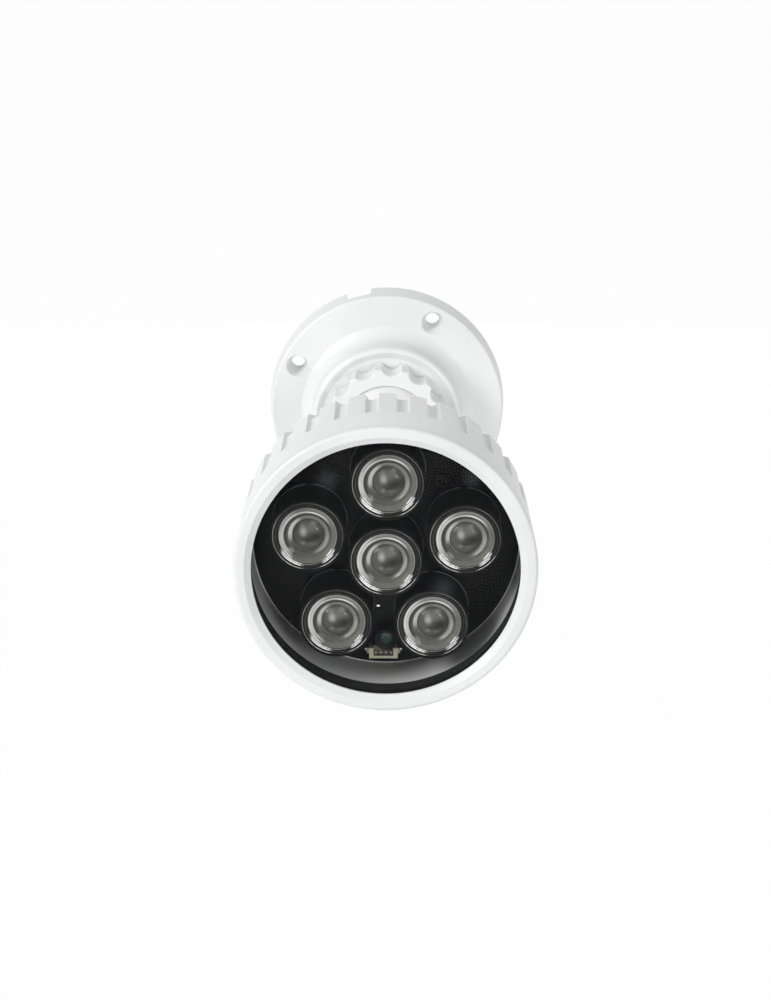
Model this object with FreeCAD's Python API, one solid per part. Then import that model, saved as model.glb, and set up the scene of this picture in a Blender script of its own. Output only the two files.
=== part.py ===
import FreeCAD, Part
import math
import os

# Infrared illuminator: a finned round lamp head on a ball joint, carried by a round wall bracket.
# Millimetres. The origin is the centre of the wall plate's back face, +Z is up and the lamp looks along -Y.
# A reach is a distance in front of the wall, so a point at reach s has Y = -s.
# A clock angle is measured from the top, clockwise as seen from in front of the lamp.

# Wall plate
PLATE_RADIUS = 42.4
PLATE_THICKNESS = 10.0
PLATE_DRAFT = 0.9
PLATE_ROUND = 0.9
PLATE_SKIN = 3.2
RIM_WALL = 3.2
SCREW_COUNT = 4
SCREW_CLOCK = 26.9
SCREW_CIRCLE = 35.75
SCREW_HOLE = 2.5
SCREW_HEAD = 4.0
SCREW_SINK = 4.9
SCREW_BOSS_WALL = 2.6
NOTCH_CLOCK = -13.6
NOTCH_WIDTH = 8.8
NOTCH_DEPTH = 6.4
NOTCH_ROUND = 2.2

# Ball joint
BALL_RADIUS = 16.3
BALL_GAP = 0.2
BALL_REACH = 27.7
SEAT_GAP = 0.15
SEAT_WALL = 0.8
SEAT_DEPTH = 6.0
SEAT_SHOULDER = 3.0
SEAT_FIT = 0.05
NECK_WALL = 1.4
NECK_SETBACK = 0.7
THREAD_FIT = 0.05
RING_RADIUS = 21.4
RING_OPENING = 15.6
RING_LIP = 0.95
RING_DEPTH = 10.0
RING_ROUND = 0.5
SCALLOP_COUNT = 14
SCALLOP_CLOCK = 4.6
SCALLOP_RADIUS = 3.9
SCALLOP_DEPTH = 2.4
TIGHTENING_ROOM = 0.6

# Dome of the bracket, round the lock ring
DOME_FOOT = 30.7
DOME_RADIUS = 26.5
DOME_RECESS_GAP = 1.3
DOME_LIP_HEIGHT = 1.3
DOME_LIP_WIDTH = 1.7
DOME_FLARE = 6.5
DOME_WALL = 3.0

# Stem from the ball to the lamp head
STEM_RADIUS = 6.8
STEM_THREAD = 6.0
STEM_BORE = 3.4
STEM_ROUND = 1.0
STEM_FREE_LENGTH = 14.5
STEM_BORE_FLARE = 0.8
NUT_FLATS = 19.0
NUT_DEPTH = 5.5
NUT_SHANK_GAP = 3.6
WASHER_RADIUS = 10.4
WASHER_DEPTH = 1.0

# Lamp head, outside
HEAD_RADIUS = 42.0
HEAD_LENGTH = 98.7
BOSS_RADIUS = 11.0
BOSS_DEPTH = 7.5
BOSS_ROUND = 2.0
TAIL_ANGLE = 22.0
TAIL_ROUND = 6.0
SHOULDER_ROUND = 10.0
PLAIN_BAND = 12.8
STRAIGHT_LENGTH = 29.3
SLOT_COUNT = 30
SLOT_CLOCK = 6.7
SLOT_DEPTH = 1.35
SLOT_FLOOR = 3.2
SLOT_DRAFT = 14.0
SLOT_ROUND = 0.5
SLOT_SLOPE = 18.3

# Bezel and glass
BEZEL_FLANGE = 2.4
BEZEL_ROUND = 1.0
BEZEL_WIDTH = 4.8
BEZEL_BEVEL_WIDTH = 1.55
BEZEL_BEVEL_DEPTH = 1.0
BEZEL_EDGE = 0.35
BEZEL_LIP = 1.6
BEZEL_SKIRT = 1.1
BEZEL_SKIRT_GAP = 0.1
HOUSING_LIP = 1.25
GASKET_DEPTH = 1.7
GASKET_FRONT_LIP = 0.8
GASKET_REAR_LIP = 4.1
GASKET_WEB = 0.5
GLASS_THICKNESS = 3.0
PIECE_FIT = 0.05

# Inside of the lamp head
WELL_WALL = 3.1
WELL_DEPTH = 16.1
LEDGE_WIDTH = 5.4
HEAT_PLATE_THICKNESS = 3.0
BOARD_THICKNESS = 1.6
BOARD_GAP = 0.2
CAVITY_STRAIGHT = 12.0
CAVITY_TAIL_WALL = 3.4
TAIL_WALL = 8.0
GLAND_RADIUS = 8.0
GLAND_DEPTH = 4.0
GLAND_LIP = 1.5
GLAND_BORE = 3.0

# Emitters and their optics
RING_LEDS = 5
LED_CIRCLE = 23.06
LED_CLOCK = 1.35
EMITTER_SIDE = 7.0
EMITTER_BASE = 1.0
EMITTER_DOME = 2.5
HOLDER_RADIUS = 10.5
HOLDER_HEIGHT = 17.4
HOLDER_RIM = 0.55
HOLDER_WALL = 1.5
HOLDER_FLOOR = 1.2
HOLDER_HOLE_GAP = 0.3
HOLDER_NOTCH_WIDTH = 2.3
HOLDER_NOTCH_DEPTH = 0.6
HOLDER_COLLAR = 0.3
HOLDER_COLLAR_HEIGHT = 3.2
LENS_FLANGE = 1.2
LENS_LAND = 0.2
LENS_FACE = 8.1
LENS_STEP = 5.65
LENS_BALL = 4.45
LENS_RECESS = 1.7
LENS_CROWN = 1.5
LENS_FOOT = 4.3
LENS_CLEARANCE = 0.8
LENS_SOCKET = 3.1
LENS_SOCKET_DEPTH = 3.6

# Small parts on the emitter board
CELL_INSET = 9.6
CELL_RADIUS = 1.9
CELL_HEIGHT = 4.2
SLEEVE_RADIUS = 3.3
SLEEVE_HEIGHT = 5.0
PLUG_X = -0.8
PLUG_INSET = 4.4
PLUG_WIDTH = 8.4
PLUG_SIDE = 3.2
PLUG_HEIGHT = 3.1
PLUG_END = 1.3
PLUG_WALL = 0.8
PLUG_FLOOR = 0.8
PIN_COUNT = 4
PIN_PITCH = 1.5
PIN_WIDTH = 0.6
PIN_HEIGHT = 2.6
TAB_WIDTH = 0.7
TAB_SIDE = 1.6
TAB_HEIGHT = 1.3
CHIP_X = -2.3
CHIP_Z = -20.3
CHIP_WIDTH = 0.9
CHIP_SIDE = 0.5
CHIP_HEIGHT = 0.35
BOARD_SCREW_CLOCKS = (40.5, 109.4, 253.4)
BOARD_SCREW_CIRCLE = 24.4
BOARD_SCREW = 1.0
BOARD_SCREW_HEAD = 1.8
BOARD_SCREW_CROWN = 1.2
BOARD_SCREW_BITE = 2.4
CROSS_WIDTH = 0.5
CROSS_LENGTH = 2.0
CROSS_DEPTH = 0.6
PLATE_SCREW_COUNT = 3
PLATE_SCREW_CLOCK = 20.0
PLATE_SCREW = 1.25
PLATE_SCREW_HEAD = 2.1
PLATE_SCREW_LENGTH = 7.5

# Driver behind the heat plate
DRIVER_RADIUS = 26.0
DRIVER_GAP = 11.4
SPACER_COUNT = 3
SPACER_CLOCK = 60.0
SPACER_CIRCLE = 21.0
SPACER_RADIUS = 2.5
SPACER_SCREW = 1.25
SPACER_SCREW_HEAD = 2.3
SPACER_SCREW_CROWN = 1.5
SPACER_SCREW_BITE = 3.0
COIL_X = -9.0
COIL_Z = 5.0
COIL_RADIUS = 6.5
COIL_HEIGHT = 9.0
COIL_FLANGE = 1.4
COIL_CORE = 4.4
CAN_X = 9.0
CAN_Z = -3.0
CAN_RADIUS = 5.0
CAN_HEIGHT = 16.0
CAN_EDGE = 0.6
CAN_GROOVE = 0.5
CAN_GROOVE_PLACE = 2.5
DRIVER_CHIPS = ((-5.0, -12.0, 9.0, 6.0, 2.4), (7.0, 11.0, 5.0, 4.0, 1.6), (0.0, 14.5, 3.2, 1.6, 1.0))
HEADER_Z = 17.0
HEADER_PINS = 4
HEADER_PITCH = 2.54
HEADER_SIDE = 2.5
HEADER_PIN = 0.64
HEADER_WINDOW_GAP = 1.0

OVERRUN = 1.0
MATCH = 1e-4
ORIGIN = FreeCAD.Vector(0, 0, 0)
AXIS = FreeCAD.Vector(0, 1, 0)
FORWARD = FreeCAD.Vector(0, -1, 0)

# Places that follow from the sizes above
ring_front = BALL_REACH + math.sqrt((BALL_RADIUS + BALL_GAP) ** 2 - RING_OPENING ** 2) + RING_LIP
ring_rear = ring_front - RING_DEPTH
recess_floor = ring_rear - TIGHTENING_ROOM
neck_radius = BALL_RADIUS + BALL_GAP + NECK_WALL
neck_front = BALL_REACH - NECK_SETBACK
shank_front = BALL_REACH + BALL_RADIUS + STEM_FREE_LENGTH
nut_rear = shank_front + NUT_SHANK_GAP
boss_rear = nut_rear + NUT_DEPTH + WASHER_DEPTH
head_rear = boss_rear + BOSS_DEPTH
front_face = boss_rear + HEAD_LENGTH
bezel_seat = front_face - BEZEL_FLANGE
slot_front = bezel_seat - PLAIN_BAND
straight_rear = bezel_seat - STRAIGHT_LENGTH
cavity_rear = head_rear + TAIL_WALL
stem_front = cavity_rear - GLAND_DEPTH - PIECE_FIT
skirt_radius = HEAD_RADIUS - HOUSING_LIP - THREAD_FIT
gasket_radius = skirt_radius - BEZEL_SKIRT - PIECE_FIT
gasket_opening = gasket_radius - GASKET_DEPTH
bezel_opening = HEAD_RADIUS - BEZEL_WIDTH
lip_back = front_face - BEZEL_LIP
glass_front = lip_back - GASKET_FRONT_LIP
glass_back = glass_front - GLASS_THICKNESS
gasket_rear = glass_back - GASKET_REAR_LIP
glass_radius = gasket_radius - GASKET_WEB
well_radius = HEAD_RADIUS - WELL_WALL
board_front = gasket_rear - WELL_DEPTH
board_back = board_front - BOARD_THICKNESS
ledge = board_back - HEAT_PLATE_THICKNESS
board_radius = well_radius - BOARD_GAP
cavity_radius = well_radius - LEDGE_WIDTH
plate_screw_circle = well_radius - BOARD_GAP - PLATE_SCREW_HEAD - BOARD_GAP
holder_front = board_front + HOLDER_HEIGHT
lens_radius = HOLDER_RADIUS - HOLDER_RIM - PIECE_FIT
lens_seat = holder_front - LENS_FLANGE
driver_front = ledge - DRIVER_GAP
cell_z = CELL_INSET - board_radius
plug_z = PLUG_INSET - board_radius
driver_back = driver_front - BOARD_THICKNESS


def turned(start, *steps):
    """Turns a closed outline of (radius, reach) points about the lamp's axis. A pair of points is an arc."""
    edges = []
    here = start
    for step in steps + (start,):
        is_arc = isinstance(step[0], tuple)
        end = step[1] if is_arc else step
        if is_arc:
            edges.append(Part.Arc(flat(here), flat(step[0]), flat(end)).toShape())
        elif end != here:
            edges.append(Part.LineSegment(flat(here), flat(end)).toShape())
        here = end
    return Part.Face(Part.Wire(edges)).revolve(ORIGIN, AXIS, 360)


def flat(point):
    return FreeCAD.Vector(point[0], -point[1], 0)


def rod(radius, rear, front, x=0, z=0):
    """A round bar parallel to the lamp's axis, between two reaches."""
    return Part.makeCylinder(radius, front - rear, FreeCAD.Vector(x, -rear, z), FORWARD)


def cone(rear_radius, front_radius, rear, front, x=0, z=0):
    return Part.makeCone(rear_radius, front_radius, front - rear, FreeCAD.Vector(x, -rear, z), FORWARD)


def block(width, height, rear, front, x=0, z=0):
    """A box centred on (x, z), between two reaches."""
    corner = FreeCAD.Vector(x - width / 2, -front, z - height / 2)
    return Part.makeBox(width, front - rear, height, corner)


def ball(radius, reach, x=0, z=0):
    return Part.makeSphere(radius, FreeCAD.Vector(x, -reach, z))


def clock(shape, angle):
    """Turns a shape made at the top of the lamp to a clock angle."""
    return shape.copy().rotate(ORIGIN, AXIS, angle)


def around(shape, count, start=0):
    return [clock(shape, start + 360.0 * k / count) for k in range(count)]


def on_clock(radius, angle):
    """The x and z of a point on a circle, at a clock angle."""
    turn = math.radians(angle)
    return radius * math.sin(turn), radius * math.cos(turn)


def ring_edges(shape, *rings):
    """The circular edges of a turned shape that have these radii and reaches."""
    circles = [edge for edge in shape.Edges if not edge.Degenerated and isinstance(edge.Curve, Part.Circle)]
    return [
        edge for edge in circles
        for radius, reach in rings
        if abs(edge.Curve.Radius - radius) < MATCH and abs(edge.Curve.Center.y + reach) < MATCH
    ]


def socket_radius(sphere, reach):
    """The radius of a sphere round the ball's centre, where a plane at this reach cuts it."""
    return math.sqrt(sphere ** 2 - (reach - BALL_REACH) ** 2)


# The friction cup sits behind the ball, in a bore of the bracket
seat_sphere = BALL_RADIUS + SEAT_GAP
seat_front = BALL_REACH - 0.48 * BALL_RADIUS
seat_radius = socket_radius(seat_sphere, seat_front) + SEAT_WALL
seat_rear = seat_front - SEAT_DEPTH
web_rear = seat_rear - SEAT_SHOULDER


def wall_base():
    """Round die-cast plate with a flared dome, a threaded neck and a hollow back."""
    front_radius = PLATE_RADIUS - PLATE_DRAFT
    recess_radius = RING_RADIUS + DOME_RECESS_GAP
    lip_front = recess_floor + DOME_LIP_HEIGHT
    lip_inner = DOME_RADIUS - DOME_LIP_WIDTH
    flare_top = PLATE_THICKNESS + DOME_FLARE
    flare_mid = (DOME_RADIUS + 0.3 * (DOME_FOOT - DOME_RADIUS), PLATE_THICKNESS + 0.35 * DOME_FLARE)
    lip_drop = 0.3 * DOME_LIP_WIDTH
    body = turned(
        (0, 0),
        (PLATE_RADIUS, 0),
        (front_radius, PLATE_THICKNESS),
        (DOME_FOOT, PLATE_THICKNESS),
        (flare_mid, (DOME_RADIUS, flare_top)),
        (DOME_RADIUS, lip_front - DOME_LIP_WIDTH),
        ((DOME_RADIUS - lip_drop, lip_front - lip_drop), (lip_inner, lip_front)),
        (recess_radius, recess_floor),
        (neck_radius, recess_floor),
        (neck_radius, neck_front),
        (0, neck_front),
    )
    body = body.makeFillet(PLATE_ROUND, ring_edges(body, (front_radius, PLATE_THICKNESS)))
    dome_hollow = DOME_RADIUS - DOME_WALL
    rim_inner = PLATE_RADIUS - RIM_WALL
    hollow = turned(
        (0, -OVERRUN),
        (rim_inner, -OVERRUN),
        (rim_inner - PLATE_DRAFT, PLATE_THICKNESS - PLATE_SKIN),
        (dome_hollow, PLATE_THICKNESS - PLATE_SKIN),
        (dome_hollow, web_rear),
        (0, web_rear),
    )
    boss_radius = SCREW_HOLE + SCREW_BOSS_WALL
    boss = rod(boss_radius, 0, PLATE_THICKNESS - PLATE_SKIN, 0, SCREW_CIRCLE)
    bosses = around(boss, SCREW_COUNT, SCREW_CLOCK)
    body = body.cut(hollow).fuse(bosses)
    seat_hole = socket_radius(seat_sphere, seat_rear) + SEAT_WALL
    mouth = ball(BALL_RADIUS + BALL_GAP, BALL_REACH).common(rod(PLATE_RADIUS, seat_front, ring_front))
    socket = [
        mouth,
        rod(seat_radius + SEAT_FIT, seat_rear, seat_front + OVERRUN / 2),
        rod(seat_hole, web_rear - OVERRUN, seat_rear + OVERRUN),
    ]
    return body.cut(socket).cut(screw_holes() + [cable_notch()]).removeSplitter()


def screw_holes():
    """Cone-sunk wall screw holes through the plate's bosses."""
    sink = PLATE_THICKNESS - SCREW_SINK
    slope = (SCREW_HEAD - SCREW_HOLE) / SCREW_SINK
    hole = rod(SCREW_HOLE, -OVERRUN, sink + OVERRUN, 0, SCREW_CIRCLE)
    head = cone(SCREW_HOLE, SCREW_HEAD + slope * OVERRUN, sink, PLATE_THICKNESS + OVERRUN, 0, SCREW_CIRCLE)
    return around(hole.fuse(head), SCREW_COUNT, SCREW_CLOCK)


def cable_notch():
    """The lead's way out, in the back of the rim."""
    length = RIM_WALL + PLATE_DRAFT + 2 * OVERRUN
    middle = PLATE_RADIUS + OVERRUN - length / 2
    notch = block(NOTCH_WIDTH, length, -NOTCH_ROUND - OVERRUN, NOTCH_DEPTH, 0, middle)
    long_edges = [
        edge for edge in notch.Edges
        if abs(edge.Vertexes[0].Y + NOTCH_DEPTH) < MATCH
        and abs(edge.Vertexes[1].Y + NOTCH_DEPTH) < MATCH
        and abs(edge.Vertexes[0].X - edge.Vertexes[1].X) < MATCH
    ]
    return clock(notch.makeFillet(NOTCH_ROUND, long_edges), NOTCH_CLOCK)


def ball_seat():
    """Plastic friction cup that the clamped ball bears on."""
    rear_hole = socket_radius(seat_sphere, seat_rear)
    cup = rod(seat_radius, seat_rear, seat_front)
    return cup.cut([ball(seat_sphere, BALL_REACH), rod(rear_hole, seat_rear - OVERRUN, seat_rear + OVERRUN)])


def lock_ring():
    """Scalloped ring that screws over the neck and clamps the ball."""
    sphere = BALL_RADIUS + BALL_GAP
    bore = neck_radius + THREAD_FIT
    step = BALL_REACH + THREAD_FIT
    shell = rod(RING_RADIUS, ring_rear, ring_front)
    scallop_centre = RING_RADIUS - SCALLOP_DEPTH + SCALLOP_RADIUS
    scallop = rod(SCALLOP_RADIUS, ring_rear - OVERRUN, ring_front + OVERRUN, 0, scallop_centre)
    shell = shell.cut(around(scallop, SCALLOP_COUNT, SCALLOP_CLOCK))
    front_edges = [
        edge for edge in shell.Edges
        if all(abs(vertex.Y + ring_front) < MATCH for vertex in edge.Vertexes)
    ]
    shell = shell.makeFillet(RING_ROUND, front_edges)
    inside = [
        ball(sphere, BALL_REACH).common(rod(RING_RADIUS, step - OVERRUN, ring_front - RING_LIP)),
        rod(RING_OPENING, ring_front - RING_LIP - OVERRUN, ring_front + OVERRUN),
        rod(bore, ring_rear - OVERRUN, step),
    ]
    return shell.cut(inside)


def ball_stem():
    """Ball, shank and thread in one turned piece, bored through for the lead."""
    stem = ball(BALL_RADIUS, BALL_REACH).fuse(rod(STEM_RADIUS, BALL_REACH, shank_front))
    joint = BALL_REACH + socket_offset(BALL_RADIUS, STEM_RADIUS)
    stem = stem.makeFillet(STEM_ROUND, ring_edges(stem, (STEM_RADIUS, joint)))
    stem = stem.fuse(rod(STEM_THREAD, BALL_REACH, stem_front))
    mouth = STEM_BORE + STEM_BORE_FLARE
    ball_rear = BALL_REACH - BALL_RADIUS
    flare_end = ball_rear + 2 * STEM_BORE_FLARE
    bore = [
        rod(STEM_BORE, ball_rear - OVERRUN, stem_front + OVERRUN),
        cone(mouth + STEM_BORE_FLARE, STEM_BORE, ball_rear, flare_end),
    ]
    return stem.cut(bore)


def socket_offset(sphere, radius):
    """How far ahead of the ball's centre a sphere has this radius."""
    return math.sqrt(sphere ** 2 - radius ** 2)


def hexagon(flats, rear, front):
    """A hexagonal bar with this width across its flats."""
    corner = flats / math.sqrt(3)
    points = [FreeCAD.Vector(*flat_point(corner, 60 * k, rear)) for k in range(7)]
    return Part.Face(Part.makePolygon(points)).extrude(FORWARD * (front - rear))


def flat_point(radius, angle, reach):
    x, z = on_clock(radius, angle)
    return x, -reach, z


def stem_nut():
    """Lock nut that holds the head on the stem's thread, with its corners turned off."""
    front = nut_rear + NUT_DEPTH
    corner = NUT_FLATS / math.sqrt(3)
    slope = corner - NUT_FLATS / 2
    nut = hexagon(NUT_FLATS, nut_rear, front)
    nut = nut.common(cone(NUT_FLATS / 2, NUT_FLATS / 2 + NUT_DEPTH * 2, nut_rear, front))
    return nut.cut([rod(STEM_THREAD + PIECE_FIT, nut_rear - slope, front + slope)])


def stem_washer():
    rear = nut_rear + NUT_DEPTH
    washer = rod(WASHER_RADIUS, rear, rear + WASHER_DEPTH)
    return washer.cut(rod(STEM_THREAD + 2 * PIECE_FIT, rear - OVERRUN, rear + WASHER_DEPTH + OVERRUN))


def tail_radius(reach):
    """Radius of the head's tapered back at this reach."""
    turn = math.radians(TAIL_ANGLE)
    foot = straight_rear - SHOULDER_ROUND * math.sin(turn)
    foot_radius = HEAD_RADIUS - SHOULDER_ROUND * (1 - math.cos(turn))
    return foot_radius - math.tan(turn) * (foot - reach)


def housing_shell():
    """The housing's outside: straight barrel, rounded shoulder, tapered back and stem boss."""
    turn = math.radians(TAIL_ANGLE)
    foot = straight_rear - SHOULDER_ROUND * math.sin(turn)
    middle = (
        HEAD_RADIUS - SHOULDER_ROUND * (1 - math.cos(turn / 2)),
        straight_rear - SHOULDER_ROUND * math.sin(turn / 2),
    )
    shell = turned(
        (0, boss_rear),
        (BOSS_RADIUS, boss_rear),
        (BOSS_RADIUS, head_rear),
        (tail_radius(head_rear), head_rear),
        (tail_radius(foot), foot),
        (middle, (HEAD_RADIUS, straight_rear)),
        (HEAD_RADIUS, bezel_seat),
        (0, bezel_seat),
    )
    shell = shell.makeFillet(BOSS_ROUND, ring_edges(shell, (BOSS_RADIUS, head_rear)))
    return shell.makeFillet(TAIL_ROUND, ring_edges(shell, (tail_radius(head_rear), head_rear)))


def slot_section(reach, floor):
    """Outline across one slot: a flat floor with rounded corners and two leaning walls."""
    lean = math.radians(SLOT_DRAFT)
    height = SLOT_DEPTH + 2 * OVERRUN
    half_floor = SLOT_FLOOR / 2
    inner = half_floor - SLOT_ROUND * math.tan((math.pi / 2 - lean) / 2)
    rise = SLOT_ROUND * (1 - math.sin(lean))
    wall = half_floor + rise * math.tan(lean)
    bow = math.radians(45) - lean / 2
    bow_x = inner + SLOT_ROUND * math.sin(bow)
    bow_z = SLOT_ROUND * (1 - math.cos(bow))
    top = half_floor + height * math.tan(lean)

    def point(x, z):
        return FreeCAD.Vector(x, -reach, floor + z)

    return Part.Wire([
        Part.LineSegment(point(-inner, 0), point(inner, 0)).toShape(),
        Part.Arc(point(inner, 0), point(bow_x, bow_z), point(wall, rise)).toShape(),
        Part.LineSegment(point(wall, rise), point(top, height)).toShape(),
        Part.LineSegment(point(top, height), point(-top, height)).toShape(),
        Part.LineSegment(point(-top, height), point(-wall, rise)).toShape(),
        Part.Arc(point(-wall, rise), point(-bow_x, bow_z), point(-inner, 0)).toShape(),
    ])


def cooling_slot():
    """One slot between two fins: level under the barrel, then running out of the tapered back."""
    floor = HEAD_RADIUS - SLOT_DEPTH
    slope = math.tan(math.radians(SLOT_SLOPE))
    closing = math.tan(math.radians(TAIL_ANGLE)) - slope
    run_out = (SLOT_DEPTH + tail_radius(straight_rear) - HEAD_RADIUS) / closing
    end = straight_rear - run_out - OVERRUN
    return Part.makeLoft([
        slot_section(slot_front, floor),
        slot_section(straight_rear, floor),
        slot_section(end, floor - slope * (straight_rear - end)),
    ], True, True)


def rear_housing():
    """Die-cast barrel with thirty cooling slots, a ledge for the heat plate and a threaded stem boss."""
    cone_front = ledge - CAVITY_STRAIGHT
    cavity_tail = tail_radius(cavity_rear) - CAVITY_TAIL_WALL
    inside = turned(
        (0, cavity_rear),
        (cavity_tail, cavity_rear),
        (cavity_radius, cone_front),
        (cavity_radius, ledge),
        (well_radius, ledge),
        (well_radius, gasket_rear),
        (skirt_radius + THREAD_FIT, gasket_rear),
        (skirt_radius + THREAD_FIT, bezel_seat + OVERRUN),
        (0, bezel_seat + OVERRUN),
    )
    screw_depth = ledge - PLATE_SCREW_LENGTH
    screw_hole = rod(PLATE_SCREW, screw_depth, ledge + OVERRUN, 0, plate_screw_circle)
    holes = around(screw_hole, PLATE_SCREW_COUNT, PLATE_SCREW_CLOCK)
    bore = rod(STEM_THREAD + THREAD_FIT, boss_rear - OVERRUN, cavity_rear + OVERRUN)
    gland_seat = rod(GLAND_RADIUS, cavity_rear - GLAND_DEPTH, cavity_rear + OVERRUN)
    slots = around(cooling_slot(), SLOT_COUNT, SLOT_CLOCK)
    return housing_shell().cut([inside, bore, gland_seat] + holes).cut(slots)


def front_bezel():
    """Screwed ring: a flat face, a bevel down to the opening and a threaded skirt."""
    bevel_radius = bezel_opening + BEZEL_EDGE + BEZEL_BEVEL_WIDTH
    bevel_back = front_face - BEZEL_BEVEL_DEPTH
    edge_middle = (bezel_opening + 0.3 * BEZEL_EDGE, bevel_back - 0.3 * BEZEL_EDGE)
    bezel = turned(
        (bezel_opening, lip_back),
        (bezel_opening, bevel_back - BEZEL_EDGE),
        (edge_middle, (bezel_opening + BEZEL_EDGE, bevel_back)),
        (bevel_radius, front_face),
        (HEAD_RADIUS, front_face),
        (HEAD_RADIUS, bezel_seat),
        (skirt_radius, bezel_seat),
        (skirt_radius, gasket_rear + BEZEL_SKIRT_GAP),
        (skirt_radius - BEZEL_SKIRT, gasket_rear + BEZEL_SKIRT_GAP),
        (skirt_radius - BEZEL_SKIRT, lip_back),
    )
    return bezel.makeFillet(BEZEL_ROUND, ring_edges(bezel, (HEAD_RADIUS, front_face)))


def glass_gasket():
    """Black rubber channel round the glass, between the bezel's lip and the housing."""
    gasket = rod(gasket_radius, gasket_rear, lip_back)
    return gasket.cut([
        rod(gasket_opening, gasket_rear - OVERRUN, lip_back + OVERRUN),
        rod(glass_radius, glass_back, glass_front),
    ])


def front_glass():
    return rod(glass_radius, glass_back, glass_front)


def plate_screw_spots():
    return [PLATE_SCREW_CLOCK + 360.0 * k / PLATE_SCREW_COUNT for k in range(PLATE_SCREW_COUNT)]


def spacer_spots():
    return [SPACER_CLOCK + 360.0 * k / SPACER_COUNT for k in range(SPACER_COUNT)]


def sunk_screw_head(gap):
    """The cone that a sunk plate screw's head fills, or the hole for it with a gap."""
    depth = PLATE_SCREW_HEAD - PLATE_SCREW
    rear = board_back - depth
    return cone(PLATE_SCREW + gap, PLATE_SCREW_HEAD + gap, rear, board_back, 0, plate_screw_circle)


def header_window():
    """Opening in the heat plate that the feed pins pass through."""
    width = HEADER_PITCH * (HEADER_PINS - 1) + HEADER_PIN + 2 * HEADER_WINDOW_GAP
    height = HEADER_PIN + 2 * HEADER_WINDOW_GAP
    return block(width, height, ledge - OVERRUN, board_back + OVERRUN, 0, HEADER_Z)


def heat_plate():
    """Aluminium disc that carries the emitter board in front and the driver behind."""
    plate = rod(board_radius, ledge, board_back)
    holes = [header_window()]
    for angle in plate_screw_spots():
        shank = rod(PLATE_SCREW + PIECE_FIT, ledge - OVERRUN, board_back, 0, plate_screw_circle)
        holes.append(clock(shank.fuse(sunk_screw_head(PIECE_FIT)), angle))
    for angle in BOARD_SCREW_CLOCKS:
        x, z = on_clock(BOARD_SCREW_CIRCLE, angle)
        holes.append(rod(BOARD_SCREW, ledge - OVERRUN, board_back + OVERRUN, x, z))
    for angle in spacer_spots():
        x, z = on_clock(SPACER_CIRCLE, angle)
        holes.append(rod(SPACER_SCREW, ledge - OVERRUN, board_back + OVERRUN, x, z))
    return plate.cut(holes)


def plate_screws():
    """Sunk screws that hold the heat plate on the housing's ledge."""
    tip = board_back - PLATE_SCREW_LENGTH
    depth = PLATE_SCREW_HEAD - PLATE_SCREW
    shank = rod(PLATE_SCREW, tip, board_back - depth, 0, plate_screw_circle)
    screw = shank.fuse(sunk_screw_head(0))
    return Part.makeCompound([clock(screw, angle) for angle in plate_screw_spots()])


def led_board():
    """Round black circuit board on the heat plate."""
    board = rod(board_radius, board_back, board_front)
    holes = []
    for angle in BOARD_SCREW_CLOCKS:
        x, z = on_clock(BOARD_SCREW_CIRCLE, angle)
        holes.append(rod(BOARD_SCREW + PIECE_FIT, board_back - OVERRUN, board_front + OVERRUN, x, z))
    return board.cut(holes)


def cross_recess(front, x, z):
    """The cross slot in a small screw's head."""
    rear = front - CROSS_DEPTH
    bar = block(CROSS_WIDTH, CROSS_LENGTH, rear, front + OVERRUN, x, z)
    return bar.fuse(block(CROSS_LENGTH, CROSS_WIDTH, rear, front + OVERRUN, x, z))


def board_screws():
    """Black screws that pull the emitter board on to the heat plate."""
    front = board_front + BOARD_SCREW_CROWN
    screws = []
    for angle in BOARD_SCREW_CLOCKS:
        x, z = on_clock(BOARD_SCREW_CIRCLE, angle)
        head = rod(BOARD_SCREW_HEAD, board_front, front, x, z)
        shank = rod(BOARD_SCREW, board_back - BOARD_SCREW_BITE, board_front, x, z)
        screws.append(head.fuse(shank).cut(cross_recess(front, x, z)))
    return Part.makeCompound(screws)


def emitter():
    """Infrared emitter: a square package with a clear dome."""
    base_front = board_front + EMITTER_BASE
    package = block(EMITTER_SIDE, EMITTER_SIDE, board_front, base_front)
    dome = ball(EMITTER_DOME, base_front).common(rod(EMITTER_SIDE, base_front, base_front + EMITTER_SIDE))
    return package.fuse(dome)


def lens_holder():
    """Black tube that carries the lens over its emitter, with a notched collar round its foot."""
    bore = HOLDER_RADIUS - HOLDER_WALL
    foot_hole = EMITTER_SIDE / math.sqrt(2) + HOLDER_HOLE_GAP
    collar = HOLDER_RADIUS + HOLDER_COLLAR
    collar_front = board_front + HOLDER_COLLAR_HEIGHT
    tube = turned(
        (foot_hole, board_front),
        (collar, board_front),
        (collar, collar_front),
        (HOLDER_RADIUS, collar_front),
        (HOLDER_RADIUS, holder_front),
        (HOLDER_RADIUS - HOLDER_RIM, holder_front),
        (HOLDER_RADIUS - HOLDER_RIM, lens_seat),
        (bore, lens_seat),
        (bore, board_front + HOLDER_FLOOR),
        (foot_hole, board_front + HOLDER_FLOOR),
    )
    notch_rear = collar_front - HOLDER_NOTCH_DEPTH
    notch = block(HOLDER_NOTCH_WIDTH, 2 * HOLDER_COLLAR, notch_rear, collar_front + OVERRUN, 0, collar)
    return tube.cut(notch)


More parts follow.
